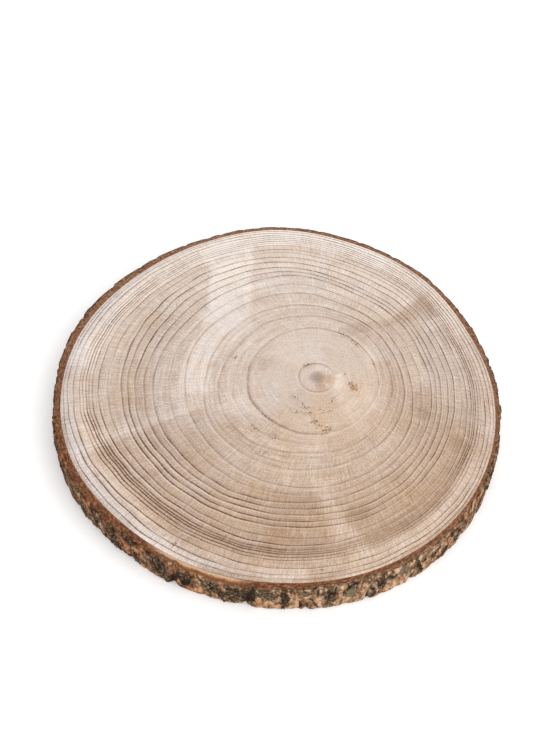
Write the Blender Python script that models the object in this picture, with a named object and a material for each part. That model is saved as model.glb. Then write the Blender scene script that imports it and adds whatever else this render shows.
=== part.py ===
# A round slice of a tree trunk: sawn across the grain, sanded flat on both faces, bark left on.
# Wood and bark grew as one piece, so the slice is one closed solid. Its faces are flat, its bark
# wall is furrowed, and the bark's sawn edge lies a little below the wood, as it does once dried.
# Metres, +Z up. The origin is on the underside, at the middle of the slice's own width and depth.
# Bearings are in degrees, anticlockwise seen from above, starting at +X. The front is towards -Y.

import math
import random

import bmesh
import bpy
import numpy as np
from mathutils import Vector, noise

MM = 0.001

# Sizes of the slice
THICKNESS = 25.0 * MM
# Radius of the wood under the bark in millimetres, every 22.5 degrees
WOOD_RADII = [143.3, 140.0, 142.8, 144.0, 147.0, 144.6, 143.0, 144.3,
              144.3, 143.8, 141.5, 143.0, 145.5, 148.6, 149.2, 146.8]
# How far the bark stands out from the wood in millimetres, at the same bearings
BARK_DEPTHS = [4.0, 4.4, 3.4, 3.4, 3.2, 3.6, 5.6, 6.2,
               5.6, 6.8, 6.6, 5.4, 5.2, 5.4, 4.4, 3.8]
MEAN_RADIUS = 149.5 * MM

# The sawn rim: how far bark lies below wood, the gap line between them, and the worn edge
BARK_DROP = 0.4 * MM
CAMBIUM_WIDTH = 0.6 * MM
ARRIS = 0.9 * MM
# Where bark broke off the upper edge: bearing, half width in degrees, drop in millimetres
CHIPS = [(256.0, 15.0, 3.4), (221.0, 5.0, 1.4), (196.0, 4.0, 0.8), (322.0, 5.0, 1.0), (38.0, 4.0, 0.8)]
# Share of a chip's drop that is reached beside the wood, and how square its ends are
CHIP_LIP = 0.15
CHIP_FULLNESS = 0.75

# Furrows that notch the rim: bearing, then depth and half width in millimetres
DEEP_FURROWS = [
    (27.0, 1.3, 1.8), (39.0, 1.1, 1.6), (55.0, 1.5, 1.8), (67.0, 1.2, 1.6), (107.0, 1.3, 1.8),
    (118.0, 1.6, 1.8), (127.0, 1.2, 1.6), (145.0, 1.8, 2.0), (157.0, 1.8, 1.8), (177.0, 1.2, 1.8),
    (218.0, 2.2, 1.8), (231.0, 1.4, 1.6), (244.0, 2.2, 2.0), (263.5, 2.8, 2.2), (278.0, 1.8, 1.8),
    (292.0, 2.0, 2.0), (305.0, 2.2, 2.0), (318.0, 1.9, 1.8), (341.0, 1.3, 1.6),
]
# Small furrows fill between them, this clear of them
CLEAR_OF_DEEP = 6.0 * MM
SMALL_SPACING = (9.0 * MM, 19.0 * MM)
SMALL_DEPTH = (0.4 * MM, 1.1 * MM)
SMALL_WIDTH = (1.4 * MM, 2.4 * MM)
# Millimetres sideways for each one down: to the front from both sides, and more or less by chance
STEADY_LEAN = 0.6
UPRIGHT_AT = math.radians(255)
STRAY_LEAN = 0.25
WANDER = 1.3 * MM
WANDER_LENGTH = 9.0 * MM
LUMP_HEIGHT = 0.6 * MM
LUMP_LENGTH = 11.0 * MM
# Plates of old crust left standing on the younger bark
CRUST_HEIGHT = 0.9 * MM
CRUST_WIDTH = 9.0 * MM
CRUST_LENGTH = 24.0 * MM
CRUST_SHARE = 0.02
CRUST_EDGE = 0.22
SEED = 14

# Fineness of the mesh
COLUMNS = 360
WALL_ROWS = 9


def smooth_round(values, bearing):
    """A closed smooth curve through evenly spaced values, by Catmull-Rom, at bearings in radians."""
    knots = np.array(values) * MM
    place = np.asarray(bearing) / (2 * math.pi) * len(knots)
    whole = np.floor(place).astype(int)
    t = place - whole
    before, here, after, beyond = (knots[(whole + k) % len(knots)] for k in (-1, 0, 1, 2))
    rise = (after - before) / 2
    fall = (beyond - here) / 2
    return (
        here * (2 * t**3 - 3 * t**2 + 1)
        + rise * (t**3 - 2 * t**2 + t)
        + after * (3 * t**2 - 2 * t**3)
        + fall * (t**3 - t**2)
    )


def turn_between(bearing, centre):
    """Signed angle from centre to bearing, between minus and plus half a turn."""
    return (bearing - centre + math.pi) % (2 * math.pi) - math.pi


def grow_furrows():
    """Bearing, depth, width and lean of every furrow: the deep ones, and small ones between."""
    draw = random.Random(SEED)
    furrows = [(math.radians(degrees), depth * MM, width * MM) for degrees, depth, width in DEEP_FURROWS]
    deep_bearings = [furrow[0] for furrow in furrows]
    clear = CLEAR_OF_DEEP / MEAN_RADIUS
    bearing = 0.0
    while bearing < 2 * math.pi:
        depth = draw.uniform(*SMALL_DEPTH)
        width = draw.uniform(*SMALL_WIDTH)
        if all(abs(turn_between(bearing, deep)) > clear for deep in deep_bearings):
            furrows.append((bearing, depth, width))
        bearing += draw.uniform(*SMALL_SPACING) / MEAN_RADIUS
    leaning = []
    for bearing, depth, width in furrows:
        lean = draw.uniform(-STRAY_LEAN, STRAY_LEAN) - STEADY_LEAN * math.sin(bearing - UPRIGHT_AT)
        leaning.append((bearing, depth, width, lean))
    return leaning


def bark_noise(bearing, height, width, length):
    """Smooth noise between about -1 and 1 on the bark, with features this wide and this tall."""
    around = MEAN_RADIUS / width
    values = [
        noise.noise(Vector((math.cos(b) * around, math.sin(b) * around, h / length)))
        for b, h in zip(bearing.ravel(), height.ravel())
    ]
    return np.array(values).reshape(bearing.shape)


def furrow_depth(bearing, height, furrows):
    """Depth of the furrows in the bark at each bearing and height."""
    wander = WANDER * bark_noise(bearing, height, WANDER_LENGTH, WANDER_LENGTH)
    depth = np.zeros_like(bearing)
    for centre, deepest, width, lean in furrows:
        across = turn_between(bearing, centre) * MEAN_RADIUS
        across += lean * (height - THICKNESS / 2) + wander
        depth = np.maximum(depth, deepest * np.exp(-((across / width) ** 2)))
    return depth


def swelling(bearing, height):
    """Slow lumps in the bark's surface, and the plates of old crust that stand on it."""
    lumps = bark_noise(bearing, height, LUMP_LENGTH, LUMP_LENGTH)
    crust = bark_noise(bearing, height, CRUST_WIDTH, CRUST_LENGTH)
    standing = np.clip((crust - CRUST_SHARE) / CRUST_EDGE, 0, 1)
    return LUMP_HEIGHT * lumps + CRUST_HEIGHT * (standing - 0.5)


def chip_drop(bearing):
    """How far the bark's upper edge has broken down at each bearing."""
    drop = np.zeros_like(bearing)
    for centre, half_width, deepest in CHIPS:
        share = turn_between(bearing, math.radians(centre)) / math.radians(half_width)
        drop = np.maximum(drop, deepest * MM * np.clip(1 - share**2, 0, 1) ** CHIP_FULLNESS)
    return drop


def wall_profile(bearing, furrows):
    """Radius and height of each ring of the slice's skin, from the upper wood edge to the lower."""
    wood = smooth_round(WOOD_RADII, bearing)
    bark = smooth_round(BARK_DEPTHS, bearing)
    drop = chip_drop(bearing)
    top = THICKNESS - BARK_DROP - drop
    share = (np.arange(WALL_ROWS) / (WALL_ROWS - 1))[:, None]
    height = (top - ARRIS) * (1 - share) + (BARK_DROP + ARRIS) * share
    around = np.broadcast_to(bearing, height.shape)
    outside = wood + bark + swelling(around, height) - furrow_depth(around, height, furrows)
    rings = [(wood, np.full_like(bearing, THICKNESS))]
    rings.append((wood + CAMBIUM_WIDTH, THICKNESS - BARK_DROP - drop * CHIP_LIP))
    rings.append((outside[0] - ARRIS, top))
    rings += list(zip(outside, height))
    rings.append((outside[-1] - ARRIS, np.full_like(bearing, BARK_DROP)))
    rings.append((wood + CAMBIUM_WIDTH, np.full_like(bearing, BARK_DROP)))
    rings.append((wood, np.zeros_like(bearing)))
    return rings


def log_slice():
    """The whole slice: a flat face, the bark's rim and furrowed wall, and the other flat face."""
    bearing = np.arange(COLUMNS) * 2 * math.pi / COLUMNS
    rings = wall_profile(bearing, grow_furrows())
    east = np.array([radius * np.cos(bearing) for radius, _ in rings])
    north = np.array([radius * np.sin(bearing) for radius, _ in rings])
    east -= (east.max() + east.min()) / 2
    north -= (north.max() + north.min()) / 2

    shape = bmesh.new()
    loops = []
    for x, y, (_, z) in zip(east, north, rings):
        verts = [shape.verts.new(place) for place in zip(x, y, z)]
        loops.append([shape.edges.new((verts[i - 1], verts[i])) for i in range(COLUMNS)])
    for upper, lower in zip(loops, loops[1:]):
        bmesh.ops.bridge_loops(shape, edges=upper + lower)
    for rim in (loops[0], loops[-1]):
        bmesh.ops.contextual_create(shape, geom=rim)
    bmesh.ops.recalc_face_normals(shape, faces=shape.faces)
    mesh = bpy.data.meshes.new("log_slice")
    shape.to_mesh(mesh)
    shape.free()
    return mesh


def bark_brown():
    """Dry bark, seen round the wall."""
    material = bpy.data.materials.new("bark")
    material.use_nodes = True
    surface = material.node_tree.nodes["Principled BSDF"]
    surface.inputs["Base Color"].default_value = (0.14, 0.075, 0.04, 1)
    surface.inputs["Roughness"].default_value = 0.9
    surface.inputs["Metallic"].default_value = 0
    return material


def sanded_wood():
    """Pale end grain, sanded matt, on the two flat faces."""
    material = bpy.data.materials.new("wood")
    material.use_nodes = True
    surface = material.node_tree.nodes["Principled BSDF"]
    surface.inputs["Base Color"].default_value = (0.6, 0.44, 0.32, 1)
    surface.inputs["Roughness"].default_value = 0.7
    surface.inputs["Metallic"].default_value = 0
    return material


def main():
    for old in list(bpy.data.objects):
        bpy.data.objects.remove(old)
    mesh = log_slice()
    mesh.materials.append(bark_brown())
    mesh.materials.append(sanded_wood())
    for face in mesh.polygons:
        face.material_index = 1 if len(face.vertices) > 4 else 0
    mesh.shade_smooth()
    mesh.set_sharp_from_angle(angle=math.radians(40))
    slice_object = bpy.data.objects.new("log_slice", mesh)
    bpy.context.scene.collection.objects.link(slice_object)


main()
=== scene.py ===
# %% [markdown]
# # A slice of a tree trunk
# The real thing is a slice about 300 mm across and 25 mm thick, sawn across the trunk and sanded, with
# the bark left on round the rim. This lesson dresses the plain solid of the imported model: it makes the
# wood with its growth rings, the furrowed bark, their two finishes, and a plain studio to look at them in.
# Everything is in metres. Bearings run anticlockwise from +X seen from above, and -Y is the front.

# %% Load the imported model
import math
import random

import bpy
import numpy as np
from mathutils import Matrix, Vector, noise


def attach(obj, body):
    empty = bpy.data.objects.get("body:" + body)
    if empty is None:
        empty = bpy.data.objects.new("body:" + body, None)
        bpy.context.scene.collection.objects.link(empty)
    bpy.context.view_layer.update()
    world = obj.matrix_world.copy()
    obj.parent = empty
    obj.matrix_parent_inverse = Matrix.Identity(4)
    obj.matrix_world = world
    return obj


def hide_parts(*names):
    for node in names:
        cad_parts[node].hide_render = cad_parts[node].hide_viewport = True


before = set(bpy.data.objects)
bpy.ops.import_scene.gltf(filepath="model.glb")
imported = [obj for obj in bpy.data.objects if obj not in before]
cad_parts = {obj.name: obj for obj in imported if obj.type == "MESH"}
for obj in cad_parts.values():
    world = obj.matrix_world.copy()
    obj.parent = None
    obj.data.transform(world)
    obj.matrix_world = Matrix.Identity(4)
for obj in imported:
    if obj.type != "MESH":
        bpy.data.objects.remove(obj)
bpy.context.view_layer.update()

# %% [markdown]
# ## The camera
# The photograph looks down on the slice from a metre away, 52 degrees above the table. A 70 mm lens on a
# frame 36 mm tall gives the same narrowing towards the back, so the ellipse of the rim comes out alike.
# The camera comes first, because everything after it is judged through it.

# %% Set up the camera
MM = 0.001
LOOK_DOWN = math.radians(52)
CAMERA_DISTANCE = 1.0
AIM = Vector((0.6, 37.8, 0.0)) * MM

lens = bpy.data.cameras.new("camera")
lens.sensor_fit = "VERTICAL"
lens.sensor_height = 36
lens.lens = 70
camera = bpy.data.objects.new("camera", lens)
camera.location = AIM + CAMERA_DISTANCE * Vector((0, -math.cos(LOOK_DOWN), math.sin(LOOK_DOWN)))
camera.rotation_euler = (math.pi / 2 - LOOK_DOWN, 0, 0)
bpy.context.scene.collection.objects.link(camera)
bpy.context.scene.camera = camera
print("camera at", tuple(round(c, 3) for c in camera.location))

# %% [markdown]
# ## The outline of the slice
# A trunk is never quite round. Sixteen radii, measured every 22.5 degrees, and a smooth closed curve
# through them give an outline that swells and flattens as the real one does. The bark is thicker on one
# side, so it has a list of its own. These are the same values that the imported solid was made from.

# %% Draw the outline
THICKNESS = 25.0 * MM
# The middle of the measured outline lies a little off the middle of the box round the slice
MEASURED_FROM = np.array([1.14, 0.54]) * MM
WOOD_RADII = [143.3, 140.0, 142.8, 144.0, 147.0, 144.6, 143.0, 144.3,
              144.3, 143.8, 141.5, 143.0, 145.5, 148.6, 149.2, 146.8]
BARK_DEPTHS = [4.0, 4.4, 3.4, 3.4, 3.2, 3.6, 5.6, 6.2,
               5.6, 6.8, 6.6, 5.4, 5.2, 5.4, 4.4, 3.8]


def closed_curve(values, bearing):
    """A smooth closed curve through evenly spaced values, read at bearings in radians."""
    knots = np.array(values)
    place = np.asarray(bearing) / (2 * math.pi) * len(knots)
    whole = np.floor(place).astype(int)
    t = place - whole
    before, here, after, beyond = (knots[(whole + k) % len(knots)] for k in (-1, 0, 1, 2))
    rise = (after - before) / 2
    fall = (beyond - here) / 2
    straight = here * (2 * t**3 - 3 * t**2 + 1) + after * (3 * t**2 - 2 * t**3)
    return straight + rise * (t**3 - 2 * t**2 + t) + fall * (t**3 - t**2)


def wood_radius(bearing):
    """From the middle to the edge of the wood, in metres."""
    return closed_curve(WOOD_RADII, bearing) * MM


def bark_depth(bearing):
    """How far the bark stands out from the wood, in metres."""
    return closed_curve(BARK_DEPTHS, bearing) * MM


around = np.radians(np.arange(360))
print("the wood is", round(2000 * wood_radius(around).mean(), 1), "mm across under the bark")

# %% [markdown]
# ## The growth rings
# Each year a tree adds a ring, and the ring ends in a thin line of dark, dense late wood. The pith of this
# trunk is off centre, so the rings are crowded on one side. Each line below was followed round the slice, and
# its distance from pith to bark noted in percent every 30 degrees. The lines in between are
# too close to follow, so they are set part of the way between two that were. A ring also has small bends,
# alike in the rings beside it, and slow noise puts these in.

# %% Place the rings
# The pith, from the middle of the measured outline
PITH = np.array([27.0, 11.6]) * MM
# How dark the line is, then where it lies, every 30 degrees from 0
FOLLOWED = [
    (0.70, [8.5, 8.3, 8.1, 8.0, 8.3, 8.6, 8.2, 8.3, 8.5, 8.5, 8.5, 8.4]),
    (0.75, [31.0, 31.2, 30.4, 30.0, 30.2, 29.8, 30.3, 31.0, 31.1, 31.1, 30.2, 29.5]),
    (0.80, [40.0, 41.0, 40.3, 38.5, 39.5, 38.6, 40.2, 41.8, 42.4, 40.3, 40.4, 39.6]),
    (0.80, [48.0, 48.2, 47.2, 46.4, 46.7, 45.2, 45.2, 47.4, 48.6, 48.1, 47.3, 48.1]),
    (0.75, [52.4, 53.3, 52.9, 54.7, 54.5, 54.0, 52.9, 52.9, 55.3, 56.6, 56.3, 55.0]),
    (0.90, [63.4, 64.6, 63.8, 66.7, 65.5, 64.5, 65.2, 64.9, 65.2, 64.2, 62.8, 63.2]),
    (0.90, [69.1, 70.4, 69.0, 72.4, 73.8, 71.9, 72.1, 71.1, 70.6, 69.7, 70.0, 69.2]),
    (0.90, [77.1, 78.7, 77.9, 79.8, 81.2, 78.8, 77.2, 75.6, 75.4, 75.3, 75.9, 75.4]),
    (0.75, [83.8, 84.4, 84.0, 85.3, 87.0, 86.8, 86.0, 82.6, 81.8, 83.6, 83.3, 84.0]),
    (0.85, [88.8, 89.5, 90.0, 91.2, 91.5, 91.0, 90.8, 86.8, 86.2, 87.5, 87.8, 88.2]),
    (0.50, [92.0, 92.6, 93.0, 94.0, 94.0, 93.5, 93.2, 89.8, 89.0, 90.2, 90.4, 91.5]),
    (0.60, [94.0, 94.5, 94.5, 95.5, 96.0, 96.2, 95.4, 93.4, 92.1, 93.8, 93.8, 94.9]),
    (0.65, [96.5, 96.8, 96.5, 97.2, 98.0, 98.0, 97.6, 95.4, 95.6, 96.7, 96.5, 97.1]),
]
# Which followed line it comes after, how far towards the next, how dark
BETWEEN = [
    (1, 0.50, 0.25), (2, 0.30, 0.32), (2, 0.65, 0.40), (4, 0.50, 0.50), (5, 0.50, 0.85), (6, 0.54, 0.85),
    (7, 0.60, 0.45), (8, 0.50, 0.65), (8, 0.77, 0.60), (9, 0.50, 0.60), (12, 0.60, 0.60),
]
# Points in each row of the wood's mesh, and their bearings
COLUMNS = 480
bearing = np.arange(COLUMNS) * 2 * math.pi / COLUMNS

# How far a ring bends, over what length, and the share of the way from which it bends in full
BEND = 0.7 * MM
BEND_LENGTH = 17 * MM
FULL_BEND = 0.2
# The wood's radius in millimetres, where it needn't be exact
TYPICAL_RADIUS = 145


def bent(place):
    """A ring line with small bends, alike in lines that lie close together."""
    reach = place * wood_radius(bearing) / BEND_LENGTH
    points = np.stack([reach * np.cos(bearing), reach * np.sin(bearing), np.zeros(COLUMNS)], -1)
    bend = BEND * np.array([noise.noise(point) for point in points.tolist()])
    return place + bend / wood_radius(bearing) * np.minimum(place / FULL_BEND, 1)


followed = [closed_curve(places, bearing) / 100 for _, places in FOLLOWED] + [np.ones(COLUMNS)]
lines = [(dark, bent(place)) for (dark, _), place in zip(FOLLOWED, followed)]
for after, part, dark in BETWEEN:
    lines.append((dark, bent(followed[after] * (1 - part) + followed[after + 1] * part)))
lines.sort(key=lambda line: line[1].mean())
widest = TYPICAL_RADIUS * np.diff([place.mean() for _, place in lines]).max()
print(len(lines), "ring lines, the widest ring", round(widest, 1), "mm")

# %% [markdown]
# ## The wood
# If the rows of a mesh follow the rings, a ring line can be as thin and as crisp as it likes, whatever the
# size of the faces. So the face is a round grid: its spokes are the wood rays, its rows the rings, with
# more rows wherever a ring is wide. Each point remembers how far the nearest line is, counted in half
# widths of that line, how dark it is, and how much room there is beside it. The finish reads these later.

# %% Lay out the face of the wood
# Share of the way from pith to bark, and the share of the way that a ring's middle has moved to the slice's
DRIFT = [(0, 0), (0.3, 0.13), (0.47, 0.42), (0.65, 0.6), (1.0, 1.0)]
ROW_STEP = 1.02 * MM
# Share of the way, and half the width of a line there in millimetres
LINE_WIDTH = [(0.1, 0.80), (0.3, 0.90), (0.6, 0.62), (0.8, 0.50), (1.0, 0.36)]
# A ring this wide leaves full room for soft edges
FULL_ROOM = 4.5 * MM


def read(pairs, share):
    """The value at a share of the way, from pairs of a share and a value."""
    return np.interp(share, *zip(*pairs))


def place_on_face(share, bearing):
    """The point a share of the way from pith to bark: small rings lie round the pith, large ones don't."""
    drift = read(DRIFT, share)
    reach = share * wood_radius(bearing)
    x = PITH[0] * (1 - drift) + reach * np.cos(bearing)
    y = PITH[1] * (1 - drift) + reach * np.sin(bearing)
    return np.stack([x + MEASURED_FROM[0], y + MEASURED_FROM[1]], -1)


def rows_of(lines, row_step):
    """Rows from pith to bark: the share of the way of each, and what its points remember of their ring."""
    rows = []
    edges = [(0.0, np.zeros(COLUMNS)), *lines, (0.0, np.ones(COLUMNS))]
    for number, ((dark_in, inner), (dark_out, outer)) in enumerate(zip(edges, edges[1:])):
        gap = (outer - inner) * wood_radius(bearing)
        steps = 2 * max(1, round(gap.mean() / row_step / 2))
        for step in range(1 if number == 0 else 0, steps):
            part = step / steps
            share = inner * (1 - part) + outer * part
            nearest = np.minimum(part, 1 - part)
            if number == 0:
                nearest = 1 - part
            if number == len(edges) - 2:
                nearest = part
            rows.append({
                "share": share,
                "to_line": nearest * gap / (read(LINE_WIDTH, share) * MM),
                "line_dark": dark_in if part < 0.5 else dark_out,
                "after_line": 0.5 if part == 0 else float(part < 0.5),
                "room": np.minimum(gap / FULL_ROOM, 1),
            })
    rows.append({
        "share": 1.0,
        "to_line": gap / (read(LINE_WIDTH, 1.0) * MM),
        "line_dark": 0.0,
        "after_line": 1.0,
        "room": 1.0,
    })
    return rows


upper_rows = rows_of(lines, ROW_STEP)
# The lower face is seldom seen, so its rows are further apart
lower_rows = rows_of(lines, 4 * ROW_STEP)
print(len(upper_rows), "rows on the upper face,", len(lower_rows), "on the lower one")

# %% [markdown]
# ## Wedges in the wood
# Wedges of paler or browner wood run out from the pith. The pale ones are painted sheen, where the sanded
# fibres catch the light more, and the brown ones are the wood's own colour. They have soft edges, and some
# lean to one side on the way. An image could hold them, but it would be as coarse as the photograph, so each
# wedge is written down instead, and a function adds them all up: the bearings of its two edges where it
# starts, and where it stops, the two shares of the way from pith to bark, how soft its sides are in degrees,
# and the change that it makes at its start and at its stop.

# %% Add up wedges
# How wide the soft ends of a wedge are, as shares of the way
SOFT_START = 0.06
SOFT_STOP = 0.05


def soft_step(value):
    """0 below 0, 1 above 1, and a smooth climb between."""
    value = np.clip(value, 0, 1)
    return value * value * (3 - 2 * value)


def turn_between(bearing, centre):
    """Signed angle from centre to bearing, between minus and plus half a turn."""
    return (bearing - centre + math.pi) % (2 * math.pi) - math.pi


def sum_of(wedges, share, bearing):
    """What wedges add up to at each share of the way from pith to bark and each bearing."""
    total = np.zeros(np.broadcast(share, bearing).shape)
    for inner, outer, start, stop, soft, change_in, change_out in wedges:
        along = np.clip((share - start) / (min(stop, 1) - start), 0, 1)
        left = inner[0] * (1 - along) + outer[0] * along
        right = inner[1] * (1 - along) + outer[1] * along
        off_centre = np.abs(turn_between(bearing, np.radians((left + right) / 2)))
        inside = soft_step(0.5 + ((right - left) / 2 - np.degrees(off_centre)) / soft)
        inside *= soft_step(0.5 + (share - start) / min(SOFT_START, 2 * (1 - start)))
        inside *= soft_step(0.5 + (stop - share) / SOFT_STOP)
        total += inside * (change_in * (1 - along) + change_out * along)
    return total


tried = sum_of([((80, 100), (80, 100), 0.2, 0.8, 4, 1.0, 3.0)], np.full(2, 0.5), np.radians([90, 120]))
print("a wedge that changes 1 to 3 gives, half way along it and then beside it:", tried)

# %% [markdown]
# ## Pale and dark wood
# Pairs of a share and a darkness say how the wood darkens from the pith to the bark, and wedges change it:
# the pale wedges are painted sheen, the brown ones the wood's own colour.
# A few are as narrow as a ray, others take up a quarter of the slice, and short ones are patches.

# %% Shade the wood
# Share of the way, and how dark the wood is there outside the wedges, from 0 to about 1
DARKNESS = [
    (0, 1.05), (0.015, 0.98), (0.028, 0.78), (0.042, 0.40), (0.07, 0.28), (0.1, 0.32), (0.3, 0.34),
    (0.34, 0.48), (0.42, 0.53), (0.5, 0.55), (0.6, 0.64), (0.66, 0.74), (0.76, 0.76), (0.82, 0.86),
    (0.88, 0.88), (0.92, 0.58), (0.95, 0.50), (1.0, 0.40),
]
# The darkness stays between these, whatever the wedges add up to
PALEST = -0.4
DARKEST = 1.2
# Pale wedges below are painted sheen of the sanded fibres, brown ones are the wood's own colour
SHEEN_AND_TONE_WEDGES = [
    # away from the front the outer half is paler
    ((-12, 235), (-12, 235), 0.58, 0.92, 10, -0.06, -0.16),
    ((22, 172), (22, 172), 0.88, 1.10, 10, -0.32, -0.30),
    # the pale side, from the back round to the left
    ((62, 215), (40, 198), 0.32, 0.50, 9, -0.14, -0.24),
    ((40, 198), (40, 201.5), 0.50, 0.90, 3, -0.26, -0.44),
    ((40, 201.5), (40, 201.5), 0.90, 1.10, 3, -0.26, -0.06),
    # its paler quarter at the back
    ((40, 108), (39, 101), 0.56, 0.90, 5, -0.04, -0.24),
    ((54, 101), (54, 101), 0.90, 1.10, 8, -0.08, -0.26),
    # the brightest streak, which widens towards the pith
    ((126, 189), (114, 186), 0.42, 0.54, 4, -0.22, -0.26),
    ((114, 150), (109, 131), 0.54, 0.63, 3, -0.30, -0.34),
    ((109, 131), (101.5, 117), 0.63, 0.80, 3, -0.38, -0.44),
    ((101.5, 117), (100.5, 114), 0.80, 0.96, 3, -0.44, -0.30),
    # a brown band along the rings at the back, and browner wood on the left
    ((31, 100), (31, 100), 0.845, 0.895, 3, 0.26, 0.26),
    ((140, 196), (140, 197), 0.55, 0.80, 9, 0.14, 0.20),
    ((166, 197), (168, 197), 0.68, 0.90, 6, 0.14, 0.08),
    # the greyer quarter on the right
    ((-2, 38), (-6, 39), 0.44, 0.90, 12, -0.08, -0.24),
    ((20, 38), (18, 39), 0.30, 0.44, 8, -0.20, -0.14),
    ((10, 38), (18, 39), 0.90, 1.10, 8, -0.06, -0.14),
    # a thin brown streak between the two, and a paler one beside it
    ((54, 70), (41, 48), 0.29, 0.50, 4, 0.16, 0.30),
    ((41, 48), (36, 41), 0.50, 0.61, 3, 0.28, 0.20),
    ((36, 41), (33, 41), 0.61, 0.91, 3, 0.12, 0.27),
    ((26.5, 30.5), (25.5, 30), 0.76, 0.96, 2.5, -0.22, -0.30),
    # a pale ray at the front, and the pale band it ends in
    ((272, 278), (281, 287), 0.42, 0.72, 3, -0.10, -0.22),
    ((281, 287), (288.5, 295.5), 0.72, 0.93, 3, -0.22, -0.28),
    ((289, 338), (289, 338), 0.895, 0.95, 5, -0.12, -0.12),
    # smaller patches
    ((326, 356), (330, 358), 0.44, 0.62, 9, 0.16, 0.18),
    ((250, 279), (250, 279), 0.59, 0.68, 6, 0.12, 0.12),
    ((288.5, 297), (289, 296), 0.69, 0.77, 3, 0.34, 0.34),
    ((341, 347), (341, 347), 0.55, 0.62, 3, 0.22, 0.22),
    ((336, 340), (336, 340), 0.77, 0.86, 2.5, 0.24, 0.24),
    ((202, 240), (202, 240), 0.59, 0.70, 6, 0.10, 0.10),
    ((290, 315), (290, 315), 0.70, 0.80, 6, 0.10, 0.10),
    ((258, 284), (258, 284), 0.69, 0.84, 6, 0.08, 0.08),
    ((276, 287), (278, 286), 0.94, 1.10, 3, 0.24, 0.24),
    ((292, 338), (294, 338), 0.80, 0.90, 8, 0.06, 0.10),
    ((262, 282), (262, 282), 0.60, 0.88, 8, 0.08, 0.12),
    ((324, 352), (324, 352), 0.94, 1.10, 8, 0.08, 0.06),
    ((236, 275), (236, 275), 0.90, 0.95, 8, 0.10, 0.10),
    ((199, 240), (199, 244), 0.92, 1.10, 6, -0.18, -0.36),
    ((80, 172), (80, 172), 0.90, 1.10, 8, -0.10, -0.10),
    ((54, 120), (54, 120), 0.885, 1.10, 8, -0.15, -0.10),
    ((196, 226), (196, 226), 0.80, 0.91, 8, -0.10, -0.10),
    ((104, 152), (104, 152), 0.58, 0.82, 10, -0.08, -0.08),
    ((20, 162), (20, 162), 0.31, 0.47, 10, -0.08, -0.05),
    ((280, 304), (280, 304), 0.31, 0.54, 10, 0.10, 0.08),
    ((75, 146), (75, 146), 0.09, 0.31, 14, -0.14, -0.08),
    ((154, 168), (150, 172), 0.20, 0.31, 5, 0.06, 0.20),
    ((222, 312), (226, 300), 0.08, 0.31, 14, 0.16, 0.10),
    ((255, 318), (268, 300), 0.035, 0.075, 12, 0.42, 0.42),
    ((322, 375), (322, 375), 0.035, 0.075, 12, 0.36, 0.36),
    ((40, 98), (40, 98), 0.035, 0.075, 12, -0.12, -0.12),
    ((55, 150), (55, 150), 0.02, 0.045, 30, -0.24, -0.24),
    ((88, 138), (88, 138), 0.075, 0.095, 14, 0.28, 0.28),
    ((-38, 12), (-38, 12), 0.09, 0.125, 10, -0.34, -0.34),
    ((262, 284), (264, 282), 0.33, 0.42, 8, -0.06, -0.06),
    # at the very edge, beside the bark
    ((250, 283), (250, 283), 0.985, 1.10, 5, 0.45, 0.45),
    ((190, 232), (190, 232), 0.988, 1.10, 8, 0.50, 0.50),
    ((300, 330), (300, 330), 0.988, 1.10, 5, 0.40, 0.40),
    ((238, 284), (238, 284), 0.945, 1.10, 8, -0.10, -0.12),
    ((176, 203), (176, 203), 0.94, 1.10, 6, -0.10, -0.12),
    ((196, 224), (198, 214), 0.33, 0.44, 8, -0.14, -0.12),
]


def shade_of(share, bearing):
    """How dark the wood is between its ring lines, with the painted sheen of the pale wedges."""
    return np.clip(read(DARKNESS, share) + sum_of(SHEEN_AND_TONE_WEDGES, share, bearing), PALEST, DARKEST)


tried = shade_of(np.full(4, 0.8), np.radians([60, 110, 150, 230]))
print("darkness at four fifths of the way, at 60, 110, 150 and 230 degrees:", tried.round(2))

# %% [markdown]
# ## Yellow and grey wood
# Some wood is yellowish and some a cool grey or pink. This goes from about -12 for the coolest to 12 for the
# most yellow, and wedges say where, since they are as easy to change as the dark and pale ones.

# %% Tint the wood
WARM_WEDGES = [
    # yellowish wood at the front right
    ((262, 350), (250, 345), 0.033, 0.20, 50, 6, 10),
    ((250, 345), (240, 345), 0.20, 0.52, 50, 10, 4.5),
    ((240, 345), (240, 345), 0.52, 0.78, 50, 4.5, 10),
    ((240, 345), (240, 345), 0.78, 1.10, 50, 9, 6),
    # the right, first warm and then cool
    ((-28, 40), (-28, 40), 0.033, 0.40, 40, 5, 0),
    ((-25, 25), (-25, 30), 0.66, 0.86, 40, -4, -4),
    # the cool back and left, which turn a little warm near the bark, and greyish pink beside it
    ((60, 220), (60, 225), 0.12, 0.72, 40, -2, -3.5),
    ((15, 190), (15, 190), 0.86, 0.94, 40, 2, 2),
    ((190, 240), (190, 240), 0.86, 0.94, 40, 6, 6),
    ((135, 262), (135, 262), 0.945, 1.10, 30, -11, -13),
    # the pith is cool, and warm on its right
    ((35, 100), (35, 100), -0.10, 0.033, 40, -6, -6),
    ((95, 290), (95, 290), -0.10, 0.033, 30, -12, -13),
    ((312, 378), (312, 378), -0.10, 0.033, 40, 9, 9),
]
tried = sum_of(WARM_WEDGES, np.full(3, 0.3), np.radians([90, 180, 300]))
print("yellow at three tenths of the way, at 90, 180 and 300 degrees:", tried.round(1))

# %% [markdown]
# ## Where the lines are dark
# Ring lines stand out in some quarters of the slice and nearly vanish in others. They are faint in the
# heart, where the tree grew fast. A table gives their strength, every 30 degrees at six shares of the way,
# and was set by comparing renders with the photograph. One quarter has an abrupt edge, where sanding changed
# direction, so it is a sector with sharp ends.

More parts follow.
